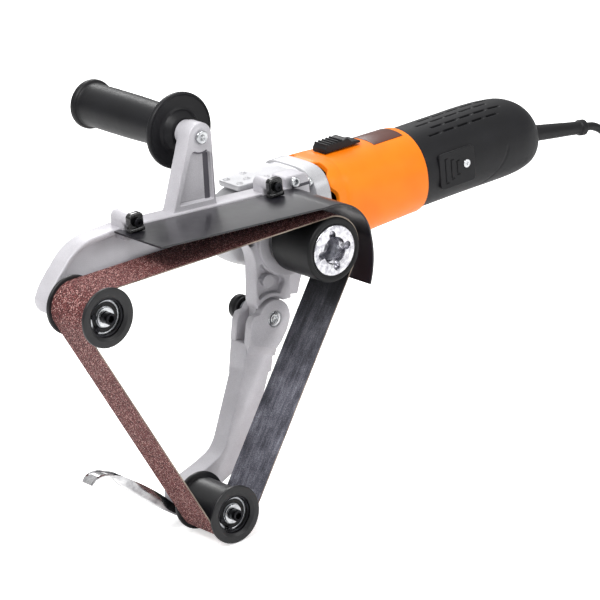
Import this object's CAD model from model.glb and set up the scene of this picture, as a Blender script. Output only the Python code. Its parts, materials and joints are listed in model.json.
# %% [markdown]
# # A pipe belt sander and its finishes
#
# The engineering model arrives as a frame: named parts in metres that already sit and move in the right
# places. This notebook gives each of them the surface that the eye expects. Most shapes are worked out with
# numpy as grids of points and handed to Blender as meshes; a few small parts keep their own mesh and only get
# a better finish.

# %% Load the frame
import json
import math

import bmesh
import bpy
import numpy as np
from mathutils import Matrix, Vector
from mathutils.geometry import tessellate_polygon


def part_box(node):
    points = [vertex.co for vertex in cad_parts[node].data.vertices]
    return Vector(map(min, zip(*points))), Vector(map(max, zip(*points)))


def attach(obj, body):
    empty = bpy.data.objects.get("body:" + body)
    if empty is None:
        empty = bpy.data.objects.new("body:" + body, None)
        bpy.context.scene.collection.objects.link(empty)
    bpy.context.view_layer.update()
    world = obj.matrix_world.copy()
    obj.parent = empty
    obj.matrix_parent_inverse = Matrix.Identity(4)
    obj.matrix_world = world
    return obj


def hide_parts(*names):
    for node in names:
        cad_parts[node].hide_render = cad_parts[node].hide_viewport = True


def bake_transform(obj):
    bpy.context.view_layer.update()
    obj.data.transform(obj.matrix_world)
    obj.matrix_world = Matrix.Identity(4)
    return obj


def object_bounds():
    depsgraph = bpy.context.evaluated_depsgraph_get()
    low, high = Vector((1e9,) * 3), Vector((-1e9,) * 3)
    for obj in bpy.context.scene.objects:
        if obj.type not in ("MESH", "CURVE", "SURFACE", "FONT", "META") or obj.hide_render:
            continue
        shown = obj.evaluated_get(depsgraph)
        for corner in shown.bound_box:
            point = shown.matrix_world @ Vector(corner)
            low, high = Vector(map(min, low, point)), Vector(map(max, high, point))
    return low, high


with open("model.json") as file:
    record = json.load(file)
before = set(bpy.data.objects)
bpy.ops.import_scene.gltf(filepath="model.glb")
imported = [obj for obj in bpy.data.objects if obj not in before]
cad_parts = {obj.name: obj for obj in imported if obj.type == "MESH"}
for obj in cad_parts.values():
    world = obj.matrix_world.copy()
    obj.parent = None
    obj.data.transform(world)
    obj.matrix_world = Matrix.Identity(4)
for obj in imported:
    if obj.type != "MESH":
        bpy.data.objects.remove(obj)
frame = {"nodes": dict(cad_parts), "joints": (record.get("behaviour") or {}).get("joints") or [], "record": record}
CAD_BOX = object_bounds()
nodes = frame["nodes"]
joints = {joint["name"]: joint for joint in frame["joints"]}
print("parts in the frame:", len(nodes))

# %% [markdown]
# ## Bench millimetres
#
# Workshop drawings are in millimetres from a handy corner. Here the handy point is the centre of the drive
# wheel's outer face: X runs back along the motor, Y along the wheel axles away from the open side, and Z is
# up. The spindle's joint gives X and Z of that point, and the wheel's own box gives its outer face.

# %% Bench coordinates
MM = 0.001
spindle_at = joints["spindle_spin"]["pos_m"]
ORIGIN = np.array([spindle_at[0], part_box("drive_wheel_core")[0][1], spindle_at[2]])


def metres(points):
    """Bench millimetres to the frame's metres: scale, then add the bench's origin."""
    return np.asarray(points, float) * MM + ORIGIN


def bench(point):
    """The other way round: frame metres to bench millimetres."""
    return (np.asarray(point, float) - ORIGIN) / MM


def axle(joint_name):
    """X and Z of a wheel's axle, in bench millimetres, from its joint."""
    x, _, z = bench(joints[joint_name]["pos_m"])
    return float(x), float(z)


FRONT_X, FRONT_Z = axle("front_roller_spin")
LOWER_X, LOWER_Z = axle("lower_roller_spin")
PIVOT_X, PIVOT_Z = axle("arm_swing")
LEVER_X, LEVER_Z = axle("lever_swing")
MOTOR_Y = float(bench((0, 0, 0))[1])            # the frame's own origin lies on the motor axis
FLOOR_Z = float(bench(CAD_BOX[0])[2])           # the spare cord rests on the lowest plane
HANDLE_LOW, HANDLE_HIGH = (bench(end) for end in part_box("side_handle"))
HANDLE_X, HANDLE_Z = float(HANDLE_LOW[0] + HANDLE_HIGH[0]) / 2, float(HANDLE_LOW[2] + HANDLE_HIGH[2]) / 2
HANDLE_NEAR = float(HANDLE_LOW[1])
print("roller axles", (FRONT_X, FRONT_Z), (LOWER_X, LOWER_Z), "floor", round(FLOOR_Z, 1))

# %% [markdown]
# ## The camera
#
# A catalogue view is taken from far away with a long lens, so that parallel edges stay nearly parallel.
# The camera stands about four metres off, a little above the tool and to the open side of the belt, and is
# rolled by a few degrees. Its matrix is built from three angles, so each can be changed alone.

# %% Camera
LENS_MM, SENSOR_MM = 240.0, 36.0
CAMERA_AT = (-1.9770, -2.3296, 0.9989)
CAMERA_AZIMUTH, CAMERA_ELEVATION, CAMERA_ROLL = -37.295, 20.164, -5.35


def aimed(azimuth, elevation, roll):
    """A camera's turn: start looking along +Y, tip down by the elevation, swing by the azimuth, then roll."""
    level = Matrix.Rotation(math.radians(90.0 - elevation), 4, "X")
    swing = Matrix.Rotation(math.radians(azimuth), 4, "Z")
    return swing @ level @ Matrix.Rotation(math.radians(roll), 4, "Z")


lens = bpy.data.cameras.new("catalogue_lens")
lens.lens, lens.sensor_width = LENS_MM, SENSOR_MM
lens.clip_start, lens.clip_end = 0.1, 30.0
camera = bpy.data.objects.new("camera", lens)
bpy.context.scene.collection.objects.link(camera)
camera.matrix_world = Matrix.Translation(CAMERA_AT) @ aimed(CAMERA_AZIMUTH, CAMERA_ELEVATION, CAMERA_ROLL)
bpy.context.scene.camera = camera

# %% [markdown]
# ## Grids into meshes
#
# Every new shape is a grid of points, rows by columns, sometimes closed round one way or both. A shell is
# such a grid with its faces; a piece is several shells, each closed, in one mesh. Shells may sink into each
# other like lumps of clay: the eye sees one casting, and no Boolean is needed.

# %% Shells and pieces
def quads(rows, columns, close_rows=False, close_columns=True):
    """Corner numbers of every cell of a grid; closing a direction joins its last line to its first."""
    r = np.arange(rows if close_rows else rows - 1)[:, None]
    c = np.arange(columns if close_columns else columns - 1)[None, :]
    below, right = (r + 1) % rows, (c + 1) % columns
    cells = np.stack([r * columns + c, r * columns + right, below * columns + right, below * columns + c], -1)
    return cells.reshape(-1, 4)


def shell(grid, close_rows=False, close_columns=True, caps=False, slot=0):
    """A grid of points (rows, columns, 3) with its quads; caps fill the first and last rows."""
    rows, columns = grid.shape[:2]
    faces = quads(rows, columns, close_rows, close_columns).tolist()
    if caps:
        faces += [list(range(columns)), list(range((rows - 1) * columns, rows * columns))]
    return {"points": grid.reshape(-1, 3), "faces": faces, "slot": slot}


def moved(part, matrix):
    """The same shell with every point multiplied by a 4 by 4 matrix."""
    m = np.array(matrix)
    return {**part, "points": part["points"] @ m[:3, :3].T + m[:3, 3]}


def piece(name, shells, finishes, body, stands_for=(), sharp=38.0):
    """Joins shells into one mesh in metres, welds poles and seams, turns faces outwards, and hands it in."""
    mesh = bpy.data.meshes.new(name)
    start, points, faces, slots = 0, [], [], []
    for part in shells:
        points.append(part["points"])
        faces += [[i + start for i in face] for face in part["faces"]]
        slots += [part["slot"]] * len(part["faces"])
        start += len(part["points"])
    mesh.from_pydata(metres(np.concatenate(points)), [], faces)
    mesh.polygons.foreach_set("material_index", slots)
    welded = bmesh.new()
    welded.from_mesh(mesh)
    bmesh.ops.remove_doubles(welded, verts=welded.verts, dist=2e-6)
    bmesh.ops.dissolve_degenerate(welded, edges=welded.edges, dist=1e-7)
    bmesh.ops.recalc_face_normals(welded, faces=welded.faces)
    welded.to_mesh(mesh)
    welded.free()
    mesh.polygons.foreach_set("use_smooth", np.ones(len(mesh.polygons), bool))
    mesh.set_sharp_from_angle(angle=math.radians(sharp))
    thing = bpy.data.objects.new(name, mesh)
    bpy.context.scene.collection.objects.link(thing)
    for finish in finishes if isinstance(finishes, (list, tuple)) else [finishes]:
        mesh.materials.append(finish)
    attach(thing, body)
    if stands_for:
        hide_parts(*stands_for)
    return thing


# %% [markdown]
# ## Outlines
#
# A casting's side view is a closed line with eased corners. Three small tools make such lines: an arc, a way
# to round every corner at once, and the line of a string pulled tight round circles.

# %% Arcs, eased corners, offsets and tight strings
def arc(x, z, radius, start, end, count=12):
    """Points (x + r cos a, z + r sin a), with a going evenly from start to end in degrees."""
    a = np.radians(np.linspace(start, end, count))
    return np.stack([x + radius * np.cos(a), z + radius * np.sin(a)], -1)


def line(*parts):
    """Points and arcs, in order, as one array."""
    return np.concatenate([np.atleast_2d(np.asarray(part, float)) for part in parts])


def eased(points, radius, steps=5, closed=True):
    """Each corner is swapped for a parabola that leaves the line one radius before it and joins one after:
    point = (1-t)^2 A + 2t(1-t) C + t^2 B, never using more than 45% of either side."""
    p = np.asarray(points, float)
    before, after = np.roll(p, 1, 0) - p, np.roll(p, -1, 0) - p
    reach_before = np.linalg.norm(before, axis=1, keepdims=True)
    reach_after = np.linalg.norm(after, axis=1, keepdims=True)
    a = p + before / reach_before * np.minimum(radius, 0.45 * reach_before)
    b = p + after / reach_after * np.minimum(radius, 0.45 * reach_after)
    t = np.linspace(0, 1, steps)[None, :, None]
    curve = (1 - t) ** 2 * a[:, None] + 2 * t * (1 - t) * p[:, None] + t ** 2 * b[:, None]
    if not closed:
        return np.concatenate([p[:1], curve[1:-1].reshape(-1, p.shape[1]), p[-1:]])
    return curve.reshape(-1, p.shape[1])


def area_of(loop):
    """Signed area by the shoelace sum: positive where the loop runs from +X towards +Z."""
    x, z = loop[:, 0], loop[:, 1]
    return 0.5 * float(np.sum(x * np.roll(z, -1) - np.roll(x, -1) * z))


def ahead(loop, inwards=True):
    """The loop turned so that material lies on its left: outlines one way, holes the other."""
    return loop if (area_of(loop) > 0) == inwards else loop[::-1]


def inset(loop, distance):
    """Every point moved left of the way the loop runs, along the bisector of its two sides."""
    step = np.roll(loop, -1, 0) - loop
    step = step / np.maximum(np.linalg.norm(step, axis=1, keepdims=True), 1e-9)
    left = np.stack([-step[:, 1], step[:, 0]], -1)
    back = np.roll(left, 1, 0)
    spread = np.maximum(1 + np.sum(left * back, axis=1, keepdims=True), 0.6)
    return loop + distance * (left + back) / spread


def stretched(*circles, count=72):
    """The outline of a string pulled tight round circles (x, z, radius): their convex hull, which is the
    furthest circle in each direction. For each angle, take the circle whose support x cos a + z sin a + r
    is largest, and its point there."""
    a = np.linspace(0, 2 * np.pi, count, endpoint=False)
    c = np.asarray(circles, float)
    support = c[:, :1] * np.cos(a) + c[:, 1:2] * np.sin(a) + c[:, 2:]
    best = c[np.argmax(support, axis=0)]
    return np.stack([best[:, 0] + best[:, 2] * np.cos(a), best[:, 1] + best[:, 2] * np.sin(a)], -1)


# %% [markdown]
# ## Cast plates
#
# The frame, the arm and the bent guard are all thick outlines with rounded edges, and some have pockets sunk
# into a face. One function makes them: each loop becomes a wall whose ends curl in by the edge radius, and
# the flat faces between loops are filled with triangles. A narrow flat ring beside every curl keeps the
# shading of the flat face flat.

# %% Plates with rounded edges and pockets
CURL = np.radians(np.linspace(90, 0, 5))


def wall(loop, stations, slot=0):
    """A loop carried through stations (inset, y): one ring of points for each."""
    rings = [np.insert(inset(loop, d), 1, y, axis=1) for d, y in stations]
    return np.stack(rings)


def curled(face, towards, radius):
    """Stations of a quarter round at a face: inset r(1 - cos a), depth r(1 - sin a), after a flat ring."""
    ring = [(radius + 0.35, face)]
    return ring + [(radius * (1 - math.cos(a)), face + towards * radius * (1 - math.sin(a))) for a in CURL]


def filled(loops, y, start):
    """Triangles between an outline and its holes, all at one y, numbered from the given vertex starts."""
    flat = [[Vector((x, z, 0)) for x, z in loop] for loop in loops]
    numbers = np.concatenate([np.arange(len(loop)) + s for loop, s in zip(loops, start)])
    return [[int(numbers[i]) for i in triangle] for triangle in tessellate_polygon(flat)]


def plate(outline, near, far, edge=1.0, near_pockets=(), far_pockets=(), through=(), slot=0):
    """A closed thick outline from y = near to y = far. Pockets are (loop, floor y); through holes go right
    across. Walls, curls and floors are rings of points, and flat faces are filled between the last rings."""
    edge = min(edge, (far - near) / 2.2)
    points, faces, count = [], [], 0
    near_rings, far_rings = [], []

    def add(grid):
        nonlocal count
        rows, columns = grid.shape[:2]
        faces.extend((quads(rows, columns) + count).tolist())
        points.append(grid.reshape(-1, 3))
        first, last = count, count + (rows - 1) * columns
        count += rows * columns
        return (grid[0][:, [0, 2]], first), (grid[-1][:, [0, 2]], last)

    both = curled(near, 1, edge) + curled(far, -1, edge)[::-1]
    for loop, inwards in [(outline, True)] + [(hole, False) for hole in through]:
        head, tail = add(wall(ahead(np.asarray(loop, float), inwards), both))
        near_rings.append(head)
        far_rings.append(tail)
    for pockets, face, towards, rings in ((near_pockets, near, 1, near_rings),
                                          (far_pockets, far, -1, far_rings)):
        for loop, floor in pockets:
            rim = min(edge, abs(floor - face) / 2.5)
            foot = [(-rim * (1 - math.cos(a)), floor - towards * rim * (1 - math.sin(a)))
                    for a in np.radians((0, 30, 60, 90))]
            stations = curled(face, towards, rim) + foot + [(-rim - 0.3, floor)]
            head, tail = add(wall(ahead(np.asarray(loop, float), False), stations))
            rings.append(head)
            faces.extend(filled([tail[0]], floor, [tail[1]]))
    for rings, y in ((near_rings, near), (far_rings, far)):
        faces.extend(filled([ring for ring, _ in rings], y, [first for _, first in rings]))
    return {"points": np.concatenate(points), "faces": faces, "slot": slot}


# %% [markdown]
# ## Turned parts
#
# Wheels, screws, bearings and the handle are turned on a lathe or moulded round. Their profile is eased like
# an outline and swept round the axle as (x + r cos a, y, z + r sin a). A hexagon socket is the same sweep
# with a radius that depends on the angle.

# %% Turned shells
def turned(profile, x, z, segments=96, ease=0.4, closed=False, slot=0, shape=None):
    """The profile (radius, y) is swept round the Y axis through (x, z). shape(a) scales the radius."""
    p = np.asarray(profile, float)
    if ease:
        p = eased(p, ease, 4, closed)
    a = np.linspace(0, 2 * np.pi, segments, endpoint=False)
    r = p[:, :1] * (np.ones_like(a) if shape is None else shape(a))[None, :]
    grid = np.stack([x + r * np.cos(a), np.repeat(p[:, 1:2], segments, 1), z + r * np.sin(a)], -1)
    return shell(grid, close_rows=closed, slot=slot)


def along_motor(part):
    """Swaps a shape turned about Y for the same shape turned about the motor's axis, which runs along X."""
    p = part["points"]
    return {**part, "points": np.stack([p[:, 1], MOTOR_Y + p[:, 0], p[:, 2]], -1)}


def hexagon(a):
    """Polar radius of a hexagon with inscribed circle 1: 1 / cos of the angle from the nearest flat."""
    return 1.0 / np.cos((a + np.pi / 6) % (np.pi / 3) - np.pi / 6)


def crosswise(a):
    """Polar radius of a cross recess: wide near four directions and narrow between them."""
    return 0.45 + 0.55 * np.abs(np.cos(2 * a)) ** 6


def socket_head(x, face, z, radius, height, socket, towards=-1, depth=0.55, shape=hexagon, slot=0):
    """A cap screw's head standing on a face: wall, rounded brim, then down into its socket."""
    top = face + towards * height
    floor = top - towards * height * depth
    brim = eased([(0.01, face), (radius, face), (radius, top), (socket * 1.5, top)], radius * 0.16, 4, False)
    a = np.linspace(0, 2 * np.pi, 48, endpoint=False)
    outer = np.stack([x + brim[:, :1] * np.cos(a), np.repeat(brim[:, 1:2], 48, 1),
                      z + brim[:, :1] * np.sin(a)], -1)
    steps = [(1.18, top), (1.0, top - towards * 0.25), (1.0, floor), (0.02, floor - towards * socket * 0.3)]
    inner = np.stack([np.stack([x + socket * k * shape(a) * np.cos(a), np.full_like(a, y),
                                z + socket * k * shape(a) * np.sin(a)], -1) for k, y in steps])
    return shell(np.concatenate([outer, inner]), slot=slot)


# %% [markdown]
# ## Finishes
#
# A finish is what the surface is and how it was made: the colour, how far it spreads a highlight, and the
# fine relief. Colours are picked as sRGB hex values and turned to linear light by one function. Patterns read
# object coordinates in metres, so a scale of 1 / size makes a pattern of that size.

# %% Colour and node tools
def linear(hex_colour):
    """sRGB hex to linear red, green, blue and alpha: below 0.04045 divide by 12.92, above it a 2.4 power."""
    c = np.array([int(hex_colour[i:i + 2], 16) for i in (0, 2, 4)]) / 255.0
    c = np.where(c <= 0.04045, c / 12.92, ((c + 0.055) / 1.055) ** 2.4)
    return (*c.tolist(), 1.0)


def add(tree, kind, inputs=None, out=0, stops=(), into=None, **settings):
    """Adds a node with its settings, its inputs (a socket is linked, anything else is a value) and, for a
    colour ramp, its (position, hex) stops. One output is linked into a given socket, and returned."""
    node = tree.nodes.new(kind)
    for name, value in settings.items():
        setattr(node, name, value)
    for name, value in (inputs or {}).items():
        if isinstance(value, bpy.types.NodeSocket):
            tree.links.new(value, node.inputs[name])
        else:
            node.inputs[name].default_value = value
    for _ in stops[2:]:
        node.color_ramp.elements.new(0.5)
    for i, (position, colour) in enumerate(stops):
        node.color_ramp.elements[i].position = position
        node.color_ramp.elements[i].color = linear(colour)
    if into is not None:
        tree.links.new(node.outputs[out], into)
    return node.outputs[out]


def per_mm(millimetres):
    """Texture scale that gives features of this size, for coordinates in metres."""
    return 1.0 / (millimetres * MM)


def finish(name, colour, roughness, metallic=0.0, coat=0.0, coat_roughness=0.1, ior=None):
    """A new material with one Principled shader; returns it, its tree and the shader's inputs."""
    made = bpy.data.materials.new(name)
    made.use_nodes = True
    shader = made.node_tree.nodes["Principled BSDF"]
    shader.inputs["Base Color"].default_value = linear(colour)
    shader.inputs["Roughness"].default_value = roughness
    shader.inputs["Metallic"].default_value = metallic
    shader.inputs["Coat Weight"].default_value = coat
    shader.inputs["Coat Roughness"].default_value = coat_roughness
    if ior:
        shader.inputs["IOR"].default_value = ior
    made.diffuse_color = linear(colour)
    return made, made.node_tree, shader.inputs


def grain(at, size_mm, detail=2.0, rough=0.6):
    """A noise texture's inputs, for features of a real size."""
    return {"Vector": at, "Scale": per_mm(size_mm), "Detail": detail, "Roughness": rough}


def bumps(height, depth_mm, strength=1.0, **onto):
    """A bump node's inputs, for relief of a real depth on top of any earlier relief."""
    return {"Height": height, "Distance": depth_mm * MM, "Strength": strength, **onto}


def spread(value, low, high):
    """A map range node's inputs, which stretch a 0 to 1 value over low to high."""
    return {"Value": value, "To Min": low, "To Max": high}


NOISE, RAMP, RANGE, BUMP = (f"ShaderNode{kind}" for kind in ("TexNoise", "ValToRGB", "MapRange", "Bump"))
MATH, PLACE = "ShaderNodeMath", "ShaderNodeTexCoord"

# %% [markdown]
# ### Plastics
#
# The motor housing is orange ABS, moulded with a satin texture; the rear housing, handle and small covers are
# black glass-filled nylon from a spark-eroded mould, which leaves fine pits that break up the highlight.

# %% Plastics
def moulded(name, colour, lighter, roughness, grain_mm, depth_mm, uneven=0.06):
    """Moulded plastic: pits of the mould's grain, slow colour drift and a touch of uneven gloss."""
    made, tree, look = finish(name, colour, roughness, ior=1.36)
    at = add(tree, PLACE, out="Object")
    drift = add(tree, NOISE, grain(at, 38))
    add(tree, RAMP, {"Fac": drift}, stops=((0.3, colour), (0.72, lighter)), into=look["Base Color"])
    gloss = spread(add(tree, NOISE, grain(at, 7, 3.0)), roughness - uneven, roughness + uneven)
    add(tree, RANGE, gloss, into=look["Roughness"])
    add(tree, BUMP, bumps(add(tree, NOISE, grain(at, grain_mm, 2.0, 0.5)), depth_mm), into=look["Normal"])
    return made


ORANGE = moulded("orange_abs", "F77704", "FB860C", 0.42, 0.7, 0.012)
NYLON = moulded("black_glass_filled_nylon", "0B0B0E", "121216", 0.52, 0.55, 0.035)
GRIP_NYLON = moulded("black_handle_nylon", "09090C", "101014", 0.46, 0.5, 0.03)
SWITCH_NYLON = moulded("switch_nylon", "0E0E10", "1A1A1D", 0.46, 0.4, 0.015)
PVC = moulded("black_pvc_sheath", "0B0B0D", "131316", 0.44, 1.2, 0.01)
RUBBER = moulded("moulded_tyre_rubber", "08080A", "0E0E10", 0.5, 0.6, 0.02)
LABEL = moulded("blank_foil_label", "47251F", "5A342B", 0.36, 0.8, 0.004)
CARBON = moulded("pressed_carbon", "26262A", "323236", 0.75, 0.3, 0.02)

# %% [markdown]
# ### Cast and painted metal
#
# The frame, arm and gear head are pressure castings with a silver powder paint. The eye reads it from a fine
# sparkle, a very slight orange-peel and a soft, wide highlight. The belt guard is bent sheet with black
# stoving enamel, smooth enough to show long blurred reflections.

# %% Castings and enamel
def painted_casting(name, colour, lighter, roughness, metallic):
    """Silver powder paint: 0.5 mm flakes that sparkle, 2.2 mm orange-peel, edges softened by the paint."""
    made, tree, look = finish(name, colour, roughness, metallic)
    at = add(tree, PLACE, out="Object")
    flakes = add(tree, NOISE, grain(at, 0.5, 1.0, 0.5))
    drift = add(tree, MATH, {0: flakes, 1: add(tree, NOISE, grain(at, 26, 3.0))}, operation="ADD")
    half = add(tree, MATH, {0: drift, 1: 0.5}, operation="MULTIPLY")
    add(tree, RAMP, {"Fac": half}, stops=((0.36, colour), (0.64, lighter)), into=look["Base Color"])
    gloss = spread(add(tree, NOISE, grain(at, 1.0)), roughness - 0.08, roughness + 0.08)
    add(tree, RANGE, gloss, into=look["Roughness"])
    soft_edge = add(tree, "ShaderNodeBevel", {"Radius": 0.45 * MM}, samples=4)
    peel = add(tree, BUMP, bumps(add(tree, NOISE, grain(at, 2.2, 2.0, 0.5)), 0.05, 0.8, Normal=soft_edge))
    add(tree, BUMP, bumps(flakes, 0.012, 0.8, Normal=peel), into=look["Normal"])
    return made


def enamelled(name, colour, lighter, roughness, peel_mm, depth_mm):
    """Stoving enamel on steel: orange-peel waves and a faint haze of dust in the gloss."""
    made, tree, look = finish(name, colour, roughness, 0.0, coat=0.35, coat_roughness=0.16, ior=1.5)
    at = add(tree, PLACE, out="Object")
    drift = add(tree, NOISE, grain(at, 60, 3.0))
    add(tree, RAMP, {"Fac": drift}, stops=((0.3, colour), (0.7, lighter)), into=look["Base Color"])
    haze = spread(add(tree, NOISE, grain(at, 14, 4.0)), roughness - 0.06, roughness + 0.08)
    add(tree, RANGE, haze, into=look["Roughness"])
    add(tree, BUMP, bumps(add(tree, NOISE, grain(at, peel_mm, 2.0, 0.4)), depth_mm), into=look["Normal"])
    return made


CASTING = painted_casting("silver_painted_casting", "B2B0B5", "C8C6CB", 0.48, 0.15)
GEAR_CASTING = painted_casting("silver_gear_casting", "A8A8AB", "C4C4C7", 0.40, 0.4)
ENAMEL = enamelled("black_stoving_enamel", "0E0D13", "16141C", 0.34, 3.0, 0.01)
GLOSS_ENAMEL = enamelled("glossy_black_enamel", "0B0B0C", "151516", 0.12, 2.2, 0.12)

# %% [markdown]
# ### Bare metals
#
# Zinc plate, chrome, ground steel and turned aluminium differ mostly in how sharp their reflections are and
# in which way the tool marks run. Marks from a lathe are rings about the axle; a metal keeps its default IOR
# because its colour already carries the reflection.

# %% Bare metals
def bare_metal(name, colour, darker, roughness, grain_mm=0.8, depth_mm=0.006, mottled_mm=6.0, uneven=0.07):
    """Metal with fine relief, and patches of slightly duller, darker surface."""
    made, tree, look = finish(name, colour, roughness, 1.0)
    at = add(tree, PLACE, out="Object")
    patches = add(tree, NOISE, grain(at, mottled_mm, 4.0))
    add(tree, RAMP, {"Fac": patches}, stops=((0.32, darker), (0.62, colour)), into=look["Base Color"])
    add(tree, RANGE, spread(patches, roughness + uneven, roughness - uneven), into=look["Roughness"])
    add(tree, BUMP, bumps(add(tree, NOISE, grain(at, grain_mm, 3.0)), depth_mm), into=look["Normal"])
    return made


def turned_metal(name, colour, lighter, roughness, metallic, axis_at, pitch_mm, depth_mm):
    """Lathe rings: sine of the distance from the axle, which runs along Y through axis_at (x, z in mm)."""
    made, tree, look = finish(name, colour, roughness, metallic)
    at = add(tree, PLACE, out="Object")
    x, _, z = metres((axis_at[0], 0, axis_at[1]))
    centred = add(tree, "ShaderNodeMapping", {"Vector": at, "Location": (-x, 0, -z)})
    across = add(tree, "ShaderNodeSeparateXYZ", {"Vector": centred})
    flat = add(tree, "ShaderNodeCombineXYZ", {"X": across, "Z": across.node.outputs["Z"]})
    away = add(tree, "ShaderNodeVectorMath", {0: flat}, out="Value", operation="LENGTH")
    phase = add(tree, MATH, {0: away, 1: 2 * math.pi / (pitch_mm * MM)}, operation="MULTIPLY")
    add(tree, BUMP, bumps(add(tree, MATH, {0: phase}, operation="SINE"), depth_mm), into=look["Normal"])
    drift = add(tree, NOISE, grain(at, 9, 4.0))
    add(tree, RAMP, {"Fac": drift}, stops=((0.3, colour), (0.7, lighter)), into=look["Base Color"])
    gloss = spread(add(tree, NOISE, grain(at, 2.5, 3.0)), roughness - 0.06, roughness + 0.08)
    add(tree, RANGE, gloss, into=look["Roughness"])
    return made


ZINC = bare_metal("bright_zinc_plate", "D4D6D8", "A9ABAF", 0.26)
CHROME = bare_metal("nickel_chrome_plate", "DCDCDD", "9C9B9E", 0.13, 1.5, 0.01, 9.0, 0.06)
STEEL = bare_metal("ground_bearing_steel", "B9BBBE", "8E9094", 0.28)
SPRING = bare_metal("drawn_spring_wire", "8C8E92", "5E6064", 0.34)
COPPER = bare_metal("commutator_copper", "C07A48", "8E5530", 0.35)
LAMINATION = bare_metal("lamination_steel", "7A7C80", "55575B", 0.45)
BLACK_STEEL = bare_metal("black_oxide_steel", "2E2E31", "17171A", 0.34)
DIE_CAST = bare_metal("bright_die_cast_zinc", "EDEDF0", "9A98A2", 0.22, 2.4, 0.12, 4.0, 0.1)
ROLLERS = {spot: turned_metal(f"black_anodised_{spot}_roller", "0B0B0D", "141417", 0.4, 0.1, at, 0.5, 0.006)
           for spot, at in (("front", (FRONT_X, FRONT_Z)), ("lower", (LOWER_X, LOWER_Z)))}
print("finishes:", len(bpy.data.materials))

# %% [markdown]
# ### Abrasive cloth
#
# The belt is brown aluminium-oxide grain, bound to grey cotton cloth. Outside, each grain catches light on
# its own facets; inside, the weave is scuffed pale and, near the drive wheel, blackened by rubber. The band
# carries its own UV map, metres along and across, so that both patterns follow it when it slackens.

# %% Abrasive cloth
BLACK_ABOVE, CLEAN_BELOW = -0.02, -0.11          # frame heights in metres between which the dust thins out


def grit(name):
    """Grain of about 0.6 mm: one cell of a Voronoi pattern is one grain, with its own tint and height."""
    made, tree, look = finish(name, "6E3336", 0.82)
    at = add(tree, "ShaderNodeUVMap", uv_map="band")
    cells = add(tree, "ShaderNodeTexVoronoi", {"Vector": at, "Scale": per_mm(0.6), "Randomness": 1.0})
    tint = add(tree, "ShaderNodeSeparateColor", {"Color": cells.node.outputs["Color"]})
    reds = ((0.0, "1E070A"), (0.5, "54201F"), (0.82, "80403F"), (0.97, "D8ACA4"))
    add(tree, RAMP, {"Fac": tint}, stops=reds, into=look["Base Color"])
    height = add(tree, MATH, {0: cells, 1: tint}, operation="ADD")
    add(tree, BUMP, bumps(height, 0.3, 0.9), into=look["Normal"])
    return made


def cloth(name):
    """Grey cotton twill: a fine weave, long pale scuffs, and rubber dust from the drive wheel higher up."""
    made, tree, look = finish(name, "5C5D66", 0.86)
    at = add(tree, "ShaderNodeUVMap", uv_map="band")
    threads = add(tree, NOISE, grain(at, 1.1, 2.0, 0.8))
    drawn_out = add(tree, "ShaderNodeMapping", {"Vector": at, "Scale": (0.12, 1.0, 1.0)})
    scuffs = add(tree, NOISE, grain(drawn_out, 5.0, 4.0, 0.7))
    patches = add(tree, NOISE, grain(at, 24.0, 3.0, 0.6))
    first = add(tree, MATH, {0: scuffs, 1: patches}, operation="ADD")
    total = add(tree, MATH, {0: first, 1: threads}, operation="ADD")
    third = add(tree, MATH, {0: total, 1: 1 / 3}, operation="MULTIPLY")
    greys = ((0.36, "232329"), (0.47, "4C4C56"), (0.56, "7A7A85"), (0.66, "B4B5BF"))
    woven = add(tree, RAMP, {"Fac": third}, stops=greys)
    height = add(tree, "ShaderNodeSeparateXYZ", {"Vector": add(tree, PLACE, out="Object")}, out="Z")
    clean = add(tree, RANGE, {"Value": height, "From Min": BLACK_ABOVE, "From Max": CLEAN_BELOW})
    add(tree, "ShaderNodeMix", {"Factor": clean, "A": linear("0B0B0D"), "B": woven}, out=2,
        into=look["Base Color"], data_type="RGBA")
    add(tree, BUMP, bumps(threads, 0.12, 0.8), into=look["Normal"])
    return made


GRIT, CLOTH = grit("brown_aluminium_oxide_grit"), cloth("grey_cotton_backing")
CUT_EDGE = moulded("cut_cloth_edge", "5F5148", "A79B8E", 0.85, 0.5, 0.05)

# %% [markdown]
# ## The mains lead
#
# The lead is about 1.5 m of 7 mm rubber-sheathed cord. It leaves the rear housing through a tapered strain
# relief, droops under its own weight, and the spare length lies in a neat coil on the floor. The free run is
# a few hand-placed points; the coil's turns come from a loop: two lanes of three layers.

# %% Lead route
CORD = 7.0
RELIEF_START, RELIEF_END = np.array((291.0, MOTOR_Y, -7.6)), np.array((349.5, MOTOR_Y, -17.8))
RELIEF_WAY = (RELIEF_END - RELIEF_START) / np.linalg.norm(RELIEF_END - RELIEF_START)
coil_low, coil_high = bench(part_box("lead_coil")[0]), bench(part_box("lead_coil")[1])
COIL_X, COIL_Y = (coil_low[:2] + coil_high[:2]) / 2
COIL_OUTER = float(coil_high[0] - coil_low[0]) / 2
REST_Z = FLOOR_Z + CORD / 2
exit_point = RELIEF_END + RELIEF_WAY * 0.3
COIL_TOP = float(coil_high[2])
FREE_RUN = [tuple(exit_point), tuple(exit_point + RELIEF_WAY * 9), (367.0, 104, -24.0),
            (374.2, 104, -31.4), (378.0, 104.4, -40.5), (384, 106, -57), (389.5, 111, -81),
            (391, 119.5, -112), (394, 130, -140), (398.5, 135.5, -155.5),
            (408.5, 139.6, -167.5), (420.5, 141.7, -173.2)]
LANES = (COIL_OUTER - 10.7, COIL_OUTER - 3.7)      # radii of the inner and the outer lane of turns
PLACES = [(0, 0), (1, 0), (1, 1), (0, 1), (0, 2), (1, 2)]   # lane and layer of each turn, from the top
TURNS, FIRST_CHANGE, CHANGE_EVERY, CHANGE_LASTS, LANDING_LASTS = 5.25, 0.90, 0.86, 0.125, 0.3      # in turns
LANDING_RADIUS = 38.2


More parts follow.
